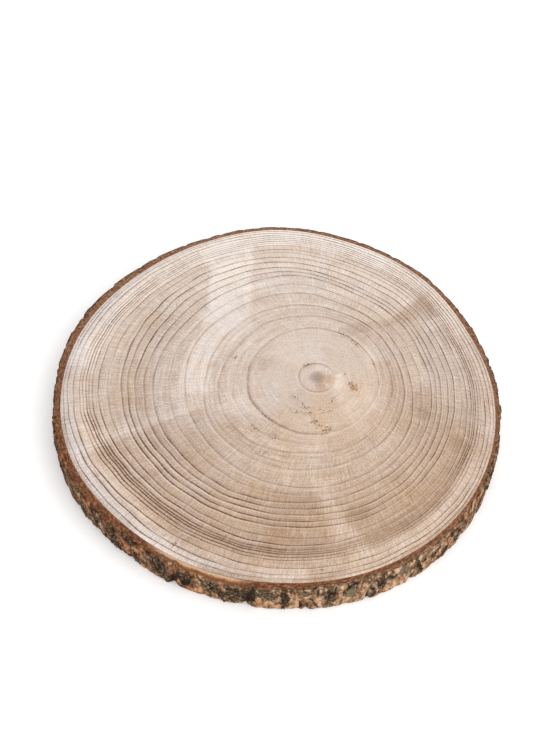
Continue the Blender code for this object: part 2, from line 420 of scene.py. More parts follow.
# %% Set the strength of the lines
# Share of the way, then the strength every 30 degrees from 0
LINE_STRENGTH = [
    (0.085, [0.12, 0.32, 0.60, 0.88, 1.00, 0.68, 0.55, 0.55, 0.64, 0.72, 0.64, 0.28]),
    (0.30, [0.50, 0.72, 0.68, 0.44, 0.46, 0.54, 0.60, 0.80, 0.78, 0.62, 0.32, 0.32]),
    (0.48, [0.84, 0.92, 0.76, 0.58, 0.38, 0.36, 0.34, 0.42, 0.38, 0.36, 0.42, 0.76]),
    (0.70, [0.72, 0.95, 0.95, 0.78, 0.66, 0.95, 0.50, 0.88, 0.80, 0.82, 0.80, 0.85]),
    (0.86, [1.15, 1.50, 1.05, 0.75, 0.95, 0.92, 0.82, 1.90, 1.40, 1.35, 0.55, 1.25]),
    (0.96, [1.35, 1.60, 1.45, 1.20, 1.15, 1.15, 0.95, 1.80, 1.00, 0.95, 1.40, 1.50]),
]
# The sector with stronger lines: its bearings, how soft its ends are, from what share of the way, and how
# much stronger the lines are there
SECTOR_FROM = 201.5
SECTOR_TO = 263.0
SECTOR_SOFT = 4
SECTOR_START = 0.45
STRONGER = 0.22


def from_table(table, share, bearing):
    """A value from a table of closed curves, each for one share of the way from pith to bark."""
    shares = [row_share for row_share, _ in table]
    curves = np.array([closed_curve(values, bearing) for _, values in table])
    place = np.interp(share, shares, range(len(table)))
    lower = np.minimum(place.astype(int), len(table) - 2)
    part = place - lower
    low = np.take_along_axis(curves, lower[None], 0)[0]
    high = np.take_along_axis(curves, lower[None] + 1, 0)[0]
    return low * (1 - part) + high * part


def inside_sector(bearing, start, stop, soft):
    """1 between two bearings in degrees and 0 outside, with ends this many degrees soft."""
    off_middle = np.degrees(np.abs(turn_between(bearing, math.radians((start + stop) / 2))))
    return soft_step(0.5 + ((stop - start) / 2 - off_middle) / soft)


def line_strength(share, bearing):
    """How strong the ring lines are at each point, 1 for a usual line."""
    strong = inside_sector(bearing, SECTOR_FROM, SECTOR_TO, SECTOR_SOFT) * (share > SECTOR_START)
    return from_table(LINE_STRENGTH, share, bearing) * (1 + STRONGER * strong)


tried = line_strength(np.array([0.7]), np.radians([230.0]))
print("line strength at 230 degrees, seven tenths of the way:", tried.round(2))

# %% [markdown]
# ## Small flaws
# Sanded end grain is never clean: there are pits, resin flecks and short drying checks. Where they lie is
# given as bearing, share of the way, length along the ring and width across it in millimetres, and
# strength. A pit of a millimetre is finer than the mesh, so here only a soft patch is marked: a weak one
# holds scattered pits, and a strong one is stained too. The two checks near the bark run outwards instead.

# %% Mark the flaws
FLAWS = [
    # the large knot-like stain right of the pith, and smaller ones round it
    (347, 0.166, 4.4, 4.6, 1.5), (342, 0.184, 6.6, 6.0, 1.6), (9, 0.142, 3.6, 1.8, 1.2),
    (2, 0.180, 5.0, 2.0, 0.7),
    # the trail of pits below the pith
    (280, 0.300, 7.0, 7.0, 1.0), (283, 0.285, 5.0, 5.0, 0.95), (275, 0.270, 6.0, 5.0, 0.9),
    (270, 0.242, 7.0, 6.0, 0.9), (264, 0.208, 8.0, 6.0, 0.9), (257, 0.178, 8.0, 5.0, 0.9),
    (250, 0.165, 7.0, 3.0, 0.9), (283, 0.190, 16.0, 6.0, 0.7), (245, 0.215, 14.0, 5.0, 0.6),
    (300, 0.150, 8.0, 6.0, 0.7), (229, 0.150, 12.0, 5.0, 0.6), (286, 0.403, 2.6, 1.8, 1.1),
    # pits along two of the rings
    (207, 0.310, 16.0, 2.0, 0.8), (222, 0.312, 18.0, 2.0, 0.9), (238, 0.315, 18.0, 2.0, 0.7),
    (246, 0.440, 10.0, 2.0, 0.9), (257, 0.428, 10.0, 2.0, 0.7), (228, 0.375, 16.0, 6.0, 0.5),
    # stains beside the rings at the left and the back
    (159, 0.370, 5.0, 2.6, 1.0), (151, 0.232, 6.0, 2.0, 0.5), (42, 0.190, 8.0, 3.0, 0.5),
    (18, 0.312, 9.0, 3.4, 0.9), (46, 0.300, 9.0, 4.4, 0.95), (60, 0.310, 12.0, 3.6, 0.95),
    (122, 0.088, 9.0, 2.6, 0.85), (243, 0.365, 11.0, 5.0, 0.75),
    # scattered specks at the back and left, and single ones
    (140, 0.740, 80.0, 50.0, 0.38), (138, 0.670, 2.4, 1.6, 1.0), (133.5, 0.832, 2.4, 1.6, 1.0),
    (161, 0.944, 2.4, 1.8, 1.0), (353.5, 0.885, 2.0, 3.4, 1.0), (280.4, 0.950, 2.2, 2.0, 1.0),
    # two checks
    (241.5, 0.957, 0.9, 4.6, 1.2), (107.5, 0.962, 1.1, 6.4, 1.1),
]


def flaws_at(share, bearing):
    """How strongly each point is marked: 0 for clean wood, 1 for pits, and more for a stain."""
    marked = np.zeros(np.broadcast(share, bearing).shape)
    for centre, place, length, width, strength in FLAWS:
        along = turn_between(bearing, math.radians(centre)) * place * TYPICAL_RADIUS / (length / 2)
        across = (share - place) * TYPICAL_RADIUS / (width / 2)
        marked = np.maximum(marked, strength * np.exp(-(along**2 + across**2)))
    return marked


print(len(FLAWS), "flaws")

# %% [markdown]
# ## Turning rows of points into a mesh
# Wood and bark are both made of rows of points that go all the way round, so one function joins
# neighbouring rows with quads. Each piece is closed: the wood ends in the pith above and below, and the
# bark's last row joins its first. What a point remembers is stored on the mesh under a name.

# %% Join rows into a mesh
def add_faces_between(faces, first, second, count):
    """Quads between two rows of count points, given where each row starts."""
    for i in range(count):
        j = (i + 1) % count
        faces.append((first + i, second + i, second + j, first + j))


def make_piece(name, points, faces, remembered):
    """An object with these points and faces, and with what each point remembers."""
    mesh = bpy.data.meshes.new(name)
    mesh.from_pydata(points.tolist(), [], faces)
    mesh.validate()
    for label, values in remembered.items():
        kind = "FLOAT_VECTOR" if values.ndim == 2 else "FLOAT"
        layer = mesh.attributes.new(label, kind, "POINT")
        layer.data.foreach_set("vector" if values.ndim == 2 else "value", values.astype(np.float32).ravel())
    piece = bpy.data.objects.new(name, mesh)
    bpy.context.scene.collection.objects.link(piece)
    print(name, "has", len(mesh.polygons), "faces")
    return piece


tried = []
add_faces_between(tried, 0, 3, 3)
print("two rows of three points are joined by", tried)

# %% [markdown]
# ## Making the wood
# The upper face, a plain side wall that the bark hides, and the lower face are one closed mesh, with a
# single point at the pith above and below. The flaws are real hollows. The lines, which stand proud by a
# few hundredths of a millimetre, are left to the finish.

# %% Make the wood
# How deep a flaw of strength 1 is, and how far the edge beside the bark is rounded down
HOLLOW = 0.15 * MM
WORN_EDGE = 0.25 * MM
# What the two points at the pith remember: the very middle is dark and cool, and far from any line
AT_PITH = {"shade": 0.98, "warmth": -14.0, "to_line": 12.0, "after_line": 0.0, "room": 1.0,
           "line_dark": 0.0, "spoke": 0.0, "flaw": 0.0}


def face_points(rows, height, up):
    """Points of one face from its rows, and what they remember."""
    notes = {key: np.array([np.broadcast_to(row[key], COLUMNS) for row in rows]) for key in rows[0]}
    share = notes.pop("share")
    turn = np.broadcast_to(bearing, share.shape)
    marked = flaws_at(share, turn) if up else np.zeros(share.shape)
    z = height - HOLLOW * marked
    z[-1] -= WORN_EDGE if up else -WORN_EDGE
    points = np.concatenate([place_on_face(share, turn), z[..., None]], -1)
    notes["line_dark"] = notes["line_dark"] * line_strength(share, turn)
    notes["shade"] = shade_of(share, turn)
    notes["warmth"] = sum_of(WARM_WEDGES, share, turn)
    notes["spoke"] = np.stack([np.cos(turn), np.sin(turn), share], -1)
    notes["flaw"] = marked
    return points, notes


def make_wood():
    """The wood as one closed mesh: two points at the pith, then rows out over the top and in below."""
    upper, upper_notes = face_points(upper_rows, THICKNESS, True)
    lower, lower_notes = face_points(lower_rows, 0.0, False)
    rows = np.concatenate([upper, lower[::-1]])
    pith = np.array([[*(PITH + MEASURED_FROM), THICKNESS], [*(PITH + MEASURED_FROM), 0.0]])
    points = np.concatenate([pith, rows.reshape(-1, 3)])
    faces = []
    last = 2 + (len(rows) - 1) * COLUMNS
    for i in range(COLUMNS):
        j = (i + 1) % COLUMNS
        faces.append((0, 2 + i, 2 + j))
        faces.append((1, last + j, last + i))
    for row in range(len(rows) - 1):
        add_faces_between(faces, 2 + row * COLUMNS, 2 + (row + 1) * COLUMNS, COLUMNS)
    remembered = {}
    for label, value in AT_PITH.items():
        both = np.concatenate([upper_notes[label], lower_notes[label][::-1]])
        both = both.reshape(-1, *both.shape[2:])
        remembered[label] = np.concatenate([np.full((2, *both.shape[1:]), value), both])
    return make_piece("wood", points, faces, remembered)


wood = make_wood()

# %% [markdown]
# ## Furrows in the bark
# As the trunk swells its bark splits, and the splits become furrows that run up the trunk and lean. They
# could be sculpted by hand, but a formula for the depth at each point keeps them editable. The deep ones
# notch the rim at bearings read off the photograph. Small ones are scattered between them with a fixed
# seed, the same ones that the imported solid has, so that the two surfaces lie on each other.

# %% Furrow the bark
# The bark's radius, which turns bearings into lengths along the wall
MEAN_RADIUS = 149.5 * MM
# Bearing, then depth and half width in millimetres
DEEP_FURROWS = [
    (27.0, 1.3, 1.8), (39.0, 1.1, 1.6), (55.0, 1.5, 1.8), (67.0, 1.2, 1.6), (107.0, 1.3, 1.8),
    (118.0, 1.6, 1.8), (127.0, 1.2, 1.6), (145.0, 1.8, 2.0), (157.0, 1.8, 1.8), (177.0, 1.2, 1.8),
    (218.0, 2.2, 1.8), (231.0, 1.4, 1.6), (244.0, 2.2, 2.0), (263.5, 2.8, 2.2), (278.0, 1.8, 1.8),
    (292.0, 2.0, 2.0), (305.0, 2.2, 2.0), (318.0, 1.9, 1.8), (341.0, 1.3, 1.6),
]
# The small furrows: how clear they stay of the deep ones, and least and most for the rest
CLEAR_OF_DEEP = 6.0 * MM
SMALL_SPACING = (9.0 * MM, 19.0 * MM)
SMALL_DEPTH = (0.4 * MM, 1.1 * MM)
SMALL_WIDTH = (1.4 * MM, 2.4 * MM)
SEED = 14
# The lean of the furrows, the bearing where they stand upright, and how much each one strays by chance
STEADY_LEAN = 0.6
UPRIGHT_AT = math.radians(255)
STRAY_LEAN = 0.25
# How far a furrow wanders from its straight line, and over what length
WANDER = 1.3 * MM
WANDER_LENGTH = 9.0 * MM


def lean_at(bearing):
    """Millimetres sideways for each one down: the bark runs to the front from both sides."""
    return -STEADY_LEAN * math.sin(bearing - UPRIGHT_AT)


def grow_furrows():
    """Bearing, depth, width and lean of every furrow."""
    draw = random.Random(SEED)
    found = [(math.radians(degrees), depth * MM, width * MM) for degrees, depth, width in DEEP_FURROWS]
    deep_bearings = [furrow[0] for furrow in found]
    centre = 0.0
    while centre < 2 * math.pi:
        depth = draw.uniform(*SMALL_DEPTH)
        width = draw.uniform(*SMALL_WIDTH)
        if all(abs(turn_between(centre, deep)) > CLEAR_OF_DEEP / MEAN_RADIUS for deep in deep_bearings):
            found.append((centre, depth, width))
        centre += draw.uniform(*SMALL_SPACING) / MEAN_RADIUS
    return [(*furrow, draw.uniform(-STRAY_LEAN, STRAY_LEAN) + lean_at(furrow[0])) for furrow in found]


def bark_noise(turn, height, width, length):
    """Smooth noise between about -1 and 1 on the bark, with features this wide and this tall."""
    reach = MEAN_RADIUS / width
    places = np.stack([np.cos(turn) * reach, np.sin(turn) * reach, height / length], -1)
    return np.array([noise.noise(p) for p in places.reshape(-1, 3).tolist()]).reshape(turn.shape)


def furrow_depth(turn, height, furrows):
    """Depth of the furrows in the bark at each bearing and height."""
    wander = WANDER * bark_noise(turn, height, WANDER_LENGTH, WANDER_LENGTH)
    depth = np.zeros_like(turn)
    for centre, deepest, width, lean in furrows:
        across = turn_between(turn, centre) * MEAN_RADIUS + lean * (height - THICKNESS / 2) + wander
        depth = np.maximum(depth, deepest * np.exp(-((across / width) ** 2)))
    return depth


furrows = grow_furrows()
print(len(furrows), "furrows,", len(DEEP_FURROWS), "of them deep")

# %% [markdown]
# ## Crust on the bark
# Patches of old grey and black crust, with lichen on it, still stand on the younger orange bark. Those on
# the side the photograph shows are placed one by one, because they are what the eye compares. The rest of
# the rim gets patches of the same kind, drawn by chance with a fixed seed. Two sizes of noise make the
# edges ragged.

# %% Place the crust
# Bearing, height of the middle, half width and half height in millimetres, lean, and how black it is
SEEN_CRUST = [
    (208.6, 14, 1.9, 11, 0.3, 0.85), (213.8, 8, 1.4, 6, 0.3, 0.8), (218.3, 17, 3.2, 10, 0.3, 0.85),
    (225.5, 13, 4.2, 9, 0.35, 0.6), (230.8, 20, 1.7, 6, 0.3, 0.95), (233.4, 11, 1.8, 5, 0.5, 0.9),
    (236.2, 19, 2.6, 4, 0.2, 0.35), (240.4, 14, 5.4, 10, 0.1, 0.6), (243.4, 6, 3.2, 5, -0.6, 0.95),
    (247.2, 16, 4.6, 9, 0.0, 0.75), (254.3, 17, 4.0, 7, 0.0, 0.5), (256.4, 10, 2.6, 7, 0.2, 0.95),
    (259.5, 14, 5.0, 10, 0.1, 0.75), (262.8, 12, 4.8, 10, 0.0, 0.85), (267.4, 17, 6.8, 6, 0.0, 0.45),
    (271.5, 15, 2.7, 11, 0.0, 0.9), (276.3, 20, 4.4, 3.2, 0.0, 0.3), (278.4, 8, 0.9, 6, 0.5, 0.8),
    (282.0, 15, 3.4, 8, 0.1, 0.7), (286.8, 16, 3.4, 5, 0.0, 0.15), (294.3, 17, 2.5, 8, 0.0, 0.9),
    (292.4, 5, 1.6, 3, -0.4, 0.7), (300.4, 18, 3.6, 5, 0.0, 0.2), (304.6, 13, 1.7, 11, 0.27, 0.95),
    (309.2, 14, 2.4, 4, 0.2, 0.6), (312.8, 9, 2.4, 4, -0.4, 0.8), (315.0, 21, 2.0, 3.6, 0.3, 0.7),
    (317.2, 9, 2.4, 3.6, -0.3, 0.8), (319.8, 19, 2.4, 3.6, 0.2, 0.5), (321.4, 9, 1.8, 3, -0.4, 0.8),
]
# The bearings between which the list says what is there, and the gaps left beside it, in degrees
SEEN_FROM = 205
SEEN_TO = 325
GAP_BEFORE = 3
GAP_AFTER = 4
CRUST_SEED = 5
# How rough a patch's outline is, where it ends in its own half widths, and how soft the edge is
COARSE_EDGE = 0.45
FINE_EDGE = 0.35
CRUST_REACH = 1.15
CRUST_SOFT = 0.25


def scatter_crust():
    """Crust for the part of the rim that isn't seen, in the same form as the list."""
    draw = random.Random(CRUST_SEED)
    scattered = []
    degrees = SEEN_TO + GAP_AFTER
    while degrees < SEEN_FROM + 360 - GAP_BEFORE:
        lean = lean_at(math.radians(degrees)) + draw.uniform(-0.2, 0.2)
        middle = draw.uniform(8, 17)
        half_width = draw.uniform(1.6, 5.2)
        half_height = draw.uniform(3, 9)
        scattered.append((degrees, middle, half_width, half_height, lean, draw.uniform(0.35, 0.95)))
        degrees += draw.uniform(3.2, 8.5)
    return scattered


def crust_at(turn, height, patches):
    """How much each point of the wall is crust, and how black that crust is."""
    ragged = COARSE_EDGE * bark_noise(turn, height, 3.2 * MM, 3.2 * MM)
    ragged += FINE_EDGE * bark_noise(turn, height, 1.3 * MM, 1.3 * MM)
    crust = np.zeros_like(turn)
    black = np.zeros_like(turn)
    for degrees, middle, half_width, half_height, lean, blackness in patches:
        up = height / MM - middle
        side = turn_between(turn, math.radians(degrees)) * MEAN_RADIUS / MM + lean * up
        edge = np.hypot(side / half_width, up / half_height) + ragged
        here = soft_step((CRUST_REACH - edge) / CRUST_SOFT)
        black = np.where(here > crust, blackness, black)
        crust = np.maximum(crust, here)
    return crust, black


patches = SEEN_CRUST + scatter_crust()
print(len(patches), "patches of crust")

# %% [markdown]
# ## The broken edge and the cracks
# The bark's sawn edge lies a little lower than the wood, since bark shrinks more as it dries. In five places
# a chip has broken off it. Fine cracks run round plates of bark of about 5 by 13 mm. A Voronoi pattern has
# just such plates: where a point is nearly as far from its nearest centre as from the next, it is in a crack.

# %% Chip and crack the bark
BARK_DROP = 0.4 * MM
# Bearing and half width in degrees, and how far the edge has broken down in millimetres
CHIPS = [(256.0, 15.0, 3.4), (221.0, 5.0, 1.4), (196.0, 4.0, 0.8), (322.0, 5.0, 1.0), (38.0, 4.0, 0.8)]
# How square a chip's ends are, and the share of its drop that is reached beside the wood
CHIP_FULLNESS = 0.75
CHIP_LIP = 0.15
PLATE_WIDTH = 5.5 * MM
PLATE_HEIGHT = 13.0 * MM
# How wide a crack is and how soft its edge, both as shares of a plate
CRACK_REACH = 0.16
CRACK_SOFT = 0.14


def chip_drop(turn):
    """How far the bark's upper edge has broken down at each bearing."""
    drop = np.zeros_like(turn)
    for centre, half_width, deepest in CHIPS:
        share = turn_between(turn, math.radians(centre)) / math.radians(half_width)
        drop = np.maximum(drop, deepest * MM * np.clip(1 - share**2, 0, 1) ** CHIP_FULLNESS)
    return drop


def cracks_at(turn, height):
    """Fine cracks round small plates of bark, 1 in a crack and 0 on a plate."""
    lean = np.array([lean_at(t) for t in turn[0]])
    turned = turn + lean * (height - THICKNESS / 2) / MEAN_RADIUS
    reach = MEAN_RADIUS / PLATE_WIDTH
    places = np.stack([np.cos(turned) * reach, np.sin(turned) * reach, height / PLATE_HEIGHT], -1)
    gaps = []
    for place in places.reshape(-1, 3).tolist():
        near = noise.voronoi(place)[0]
        gaps.append(near[1] - near[0])
    gap = np.array(gaps).reshape(turn.shape)
    # Slow noise closes the cracks in some places
    open_here = soft_step(0.38 + 1.6 * bark_noise(turn, height, 12 * MM, 12 * MM))
    return soft_step((CRACK_REACH - gap) / CRACK_SOFT) * open_here


print("the deepest chip is", max(deepest for _, _, deepest in CHIPS), "mm")

# %% [markdown]
# ## The wall of the bark
# A displaced cylinder would do for the wall, but then its rows couldn't follow the chips. So it is a grid of
# points about half a millimetre apart, fine enough to push the furrows, the crust, the cracks and grains of
# 1 to 2 mm out of it as real shape. At the back the upper edge is worn smooth.

# %% Shape the wall
# Points in each row of the bark's mesh, and rows down its wall
SPOKES = 1440
WALL_ROWS = 44
# The gap between wood and bark, and how far the bark's sharp edges are rounded
WALL_GAP = 0.05 * MM
ARRIS = 0.6 * MM
# How far lumps, crust and grains stand out, and how deep the cracks are
LUMP_HEIGHT = 0.6 * MM
CRUST_HEIGHT = 0.9 * MM
GRAIN_HEIGHT = 0.21 * MM
CRACK_DEPTH = 0.8 * MM
# At the back: how far down the wear goes, the shares of roughness and furrows that are gone, and how much
# further out the bark stands there
WORN_DOWN = 3.5 * MM
WORN_AWAY = 0.75
WORN_FURROW = 0.5
PROUD_AT_BACK = 0.5 * MM


def wall_of_bark(turn):
    """The wall's points from its upper edge down, and the crust, cracks and furrows at each."""
    top = THICKNESS - BARK_DROP - chip_drop(turn)
    share = (np.arange(WALL_ROWS) / (WALL_ROWS - 1))[:, None]
    height = (top - ARRIS) * (1 - share) + (BARK_DROP + ARRIS) * share
    turn = np.broadcast_to(turn, height.shape)
    crust, black = crust_at(turn, height, patches)
    crack_and_furrow_shade = cracks_at(turn, height)
    furrow = furrow_depth(turn, height, furrows)
    grains = 0.6 * bark_noise(turn, height, 2.4 * MM, 2.4 * MM)
    grains += 0.4 * bark_noise(turn, height, 1.1 * MM, 1.1 * MM)
    at_back = np.sin(turn)
    worn = np.clip(2 * at_back, 0, 1) * np.exp(-(((top - height) / WORN_DOWN) ** 2))
    rough = CRUST_HEIGHT * (crust - 0.5) + GRAIN_HEIGHT * grains * (1 + 2 * crust) - CRACK_DEPTH * crack_and_furrow_shade
    radius = wood_radius(turn) + WALL_GAP + bark_depth(turn)
    radius += LUMP_HEIGHT * bark_noise(turn, height, 11 * MM, 11 * MM)
    radius += rough * (1 - WORN_AWAY * worn) - furrow * (1 - WORN_FURROW * worn)
    radius += PROUD_AT_BACK * np.clip(at_back, 0, 1)
    return {"radius": radius, "height": height, "crust": crust, "black": black, "crack_and_furrow_shade": crack_and_furrow_shade,
            "furrow": furrow}


spokes = np.arange(SPOKES) * 2 * math.pi / SPOKES
wall = wall_of_bark(spokes)
furthest = (wall["radius"] - wood_radius(spokes)).max() / MM
print("the wall stands", round(furthest, 1), "mm out from the wood at most")

# %% [markdown]
# ## Making the bark
# The bark is one closed ring of a mesh: the sawn band on top, the wall, the lower band, and an inner wall
# against the wood. Where bark broke off the upper edge, the band slopes down and shows a pale, fresh inner
# bark. Each point remembers whether it is sawn or fresh, how far across the band it is, how much crust there
# is, how much crack and painted shade in a furrow, and how pale the bark is on that side.

# %% Make the bark
BAND_ROWS = 8
# The share of the band's width that is sawn clean, and how ragged and soft that edge is
SAWN_TO = 0.84
SAWN_RAGGED = 0.16
SAWN_SOFT = 0.2
# How rough the band is
BAND_GRAIN = 0.12 * MM
# The bearings between which the broken edge shows fresh inner bark, and how soft their ends are
FRESH_FROM = 238
FRESH_TO = 262
FRESH_SOFT = 8
# How pale the young bark is, and how much paler and greyer the sawn band is, every 30 degrees from 0
BARK_PALE = [0.4, 0.4, 0.3, 0.3, 0.3, 0.2, 0.0, 0.0, 0.1, 0.8, 1.0, 0.3]
BAND_PALE = [0.4, 0.5, 0.5, 0.5, 0.5, 0.45, 0.1, 0.0, 0.0, 0.0, 0.1, 0.2]
# How much of the crust shows on the band and its rounded edge, and how far both darken like cracks
BAND_CRUST = 0.7
EDGE_CRUST = 0.8
BAND_DARK = 0.6
EDGE_DARK = 0.7
# Painted shade in the furrows: a furrow this deep is as dark as furrows get, which is this much of a crack
FULLY_SHADED_FURROW = 2 * MM
FURROW_SHADE = 0.75
BARK_NOTES = ("crust", "black", "crack_and_furrow_shade", "sawn", "fresh", "across", "pale", "greyed")


def band_rows(turn):
    """The sawn band from the wood outwards, one row at a time, and the rounded edge it ends in."""
    inner = wood_radius(turn) + WALL_GAP
    edge = wall["radius"][0] - ARRIS
    drop = chip_drop(turn)
    fresh = inside_sector(turn, FRESH_FROM, FRESH_TO, FRESH_SOFT)
    sawn_to = SAWN_TO + SAWN_RAGGED * bark_noise(turn, np.zeros(SPOKES), 5 * MM, 5 * MM)
    for step in range(BAND_ROWS):
        part = step / (BAND_ROWS - 1)
        radius = inner * (1 - part) + edge * part
        grain = BAND_GRAIN * bark_noise(turn, radius, 1.6 * MM, 1.6 * MM)
        z = THICKNESS - BARK_DROP - drop * (CHIP_LIP + (1 - CHIP_LIP) * part) + grain
        crack_and_furrow_shade = BAND_DARK * soft_step((part - 0.75) / 0.2) * (1 - fresh)
        sawn = soft_step((sawn_to - part) / SAWN_SOFT + 0.5)
        yield {"radius": radius, "height": z, "sawn": sawn, "fresh": fresh, "across": part,
               "crust": wall["crust"][0] * BAND_CRUST, "black": wall["black"][0], "crack_and_furrow_shade": crack_and_furrow_shade}
    z = THICKNESS - BARK_DROP - drop - 0.3 * ARRIS
    crack_and_furrow_shade = EDGE_DARK * (1 - fresh)
    yield {"radius": wall["radius"][0] - 0.3 * ARRIS, "height": z, "across": 1.0,
           "crust": wall["crust"][0] * EDGE_CRUST, "black": wall["black"][0], "crack_and_furrow_shade": crack_and_furrow_shade}


def bark_rows(turn):
    """Every row of the bark's skin: the band, the wall, and three rows underneath."""
    yield from band_rows(turn)
    for row in range(WALL_ROWS):
        known = {key: values[row] for key, values in wall.items()}
        # Painted shade: the furrows darken with their depth, and more towards the bottom of the wall
        shade_lower_down = 1.2 - 0.9 * known["height"] / THICKNESS
        deep = np.clip(known.pop("furrow") / FULLY_SHADED_FURROW, 0, 1) ** 2 * shade_lower_down
        known["crack_and_furrow_shade"] = np.maximum(FURROW_SHADE * deep, known["crack_and_furrow_shade"])
        yield {**known, "across": 1.0}
    inner = wood_radius(turn) + WALL_GAP
    lowest = wall["radius"][-1]
    yield {"radius": lowest - 0.7 * ARRIS, "height": BARK_DROP + 0.1 * ARRIS, "sawn": 0.5, "across": 0.9}
    yield {"radius": (lowest + inner) / 2, "height": BARK_DROP, "sawn": 1.0, "across": 0.5}
    yield {"radius": inner, "height": BARK_DROP, "sawn": 1.0}


def make_bark(turn):
    """The bark as one closed ring of a mesh."""
    rows = list(bark_rows(turn))
    by_bearing = {"pale": closed_curve(BARK_PALE, turn), "greyed": closed_curve(BAND_PALE, turn)}
    x = [row["radius"] * np.cos(turn) + MEASURED_FROM[0] for row in rows]
    y = [row["radius"] * np.sin(turn) + MEASURED_FROM[1] for row in rows]
    z = [np.broadcast_to(row["height"], SPOKES) for row in rows]
    points = np.stack([x, y, z], -1).reshape(-1, 3)
    faces = []
    for row in range(len(rows)):
        add_faces_between(faces, row * SPOKES, (row + 1) % len(rows) * SPOKES, SPOKES)
    remembered = {}
    for key in BARK_NOTES:
        values = [np.broadcast_to({**row, **by_bearing}.get(key, 0.0), SPOKES) for row in rows]
        remembered[key] = np.array(values).ravel()
    return make_piece("bark", points, faces, remembered)


bark = make_bark(spokes)

# %% [markdown]
# ## Colours and nodes
# Colours are picked as on a screen, in sRGB hex, but a shader works in linear light, so one function turns
# them. A second function adds a node, sets it up, wires its inputs and gives the output that the next node
# reads, which keeps each finish readable. Inputs are named or numbered as Blender does: a Map Range has its
# value as input 0, the range it comes from as 1 and 2, and the range it goes to as 3 and 4.

# %% Turn colours and add nodes
# A Mix node's colour sockets have numbers, because it has sockets of the same name for other kinds of data
MIX_FACTOR, MIX_A, MIX_B = 0, 6, 7
COLOUR_MIX = {"data_type": "RGBA", "output": 2}
# Noise seldom leaves this range, so a Map Range that reads noise comes from it
FROM_NOISE = {1: 0.3, 2: 0.7}


def linear(hex_colour):
    """A linear colour with full alpha from an sRGB hex value."""
    parts = [int(hex_colour[i:i + 2], 16) / 255 for i in (1, 3, 5)]
    return tuple(p / 12.92 if p <= 0.04045 else ((p + 0.055) / 1.055) ** 2.4 for p in parts) + (1.0,)


def add(tree, kind, inputs=None, stops=(), output=0, **settings):
    """Adds a node and gives one of its outputs. An input is a value or the output of another node."""
    node = tree.nodes.new(kind)
    for name, value in settings.items():
        setattr(node, name, value)
    for name, value in (inputs or {}).items():
        if isinstance(value, bpy.types.NodeSocket):
            tree.links.new(value, node.inputs[name])
        else:
            node.inputs[name].default_value = value
    # Stops are the places and colours of a ramp, in order; a new ramp already has its two ends
    if stops:
        ramp = node.color_ramp.elements
        ramp[0].position = stops[0][0]
        ramp[1].position = stops[-1][0]
        for place, _ in stops[1:-1]:
            ramp.new(place)
        for stop, (_, colour) in zip(ramp, stops):
            stop.color = linear(colour)
    return node.outputs[output]


def start_material(name):
    """An empty material with its surface shader, and the shader."""
    material = bpy.data.materials.new(name)
    material.use_nodes = True
    return material, material.node_tree.nodes["Principled BSDF"]


print("mid grey is", round(linear("#808080")[0], 3), "in linear light")

# %% [markdown]
# ## The ground colour of the wood
# Between the lines the wood runs from a pale cream to a middle brown, and each point remembers where it
# stands between them. Noise breaks this up, because no two patches of real wood are alike. Stretching the
# noise along the rings or the spokes, and not only scaling it, is what makes it look like wood and not like
# stone. All of it is weaker in the heart.

# %% Colour the ground
# Which coordinates, how many features along each of their axes, and how much the shade changes. On a spoke
# the last axis runs from pith to bark, about 145 mm, and the first two run round a circle of that radius.
SHADE_PATTERNS = [
    # slow clouds of about 17 mm
    ("place", (60, 60, 60), 0.08),
    # wood laid down in the same weeks looks the same all the way round: bands of about 5, 2 and 1 mm
    ("spoke", (1.3, 1.3, 30), 0.07),
    ("spoke", (2.2, 2.2, 85), 0.10),
    ("spoke", (6, 6, 190), 0.16),
    # wood rays, about 2 mm and 1 mm apart near the bark
    ("spoke", (62, 62, 6), 0.08),
    ("spoke", (135, 135, 24), 0.22),
    # the grain of the pores: at their real 0.1 mm they wouldn't show, so they are drawn at 0.8 mm
    ("place", (1200, 1200, 1200), 0.33),
]
COOL_WOOD = [(0.0, "#ddd8d6"), (0.17, "#d1c9c5"), (0.33, "#c6bbb5"), (0.5, "#b7a9a1"), (0.67, "#a8968b"),
             (0.83, "#9b8779"), (1.0, "#857267")]
YELLOW_WOOD = [(0.0, "#e8daca"), (0.17, "#ddcbb9"), (0.33, "#d2bda9"), (0.5, "#c3ab95"), (0.67, "#b4987f"),
               (0.83, "#a7896d"), (1.0, "#937658")]


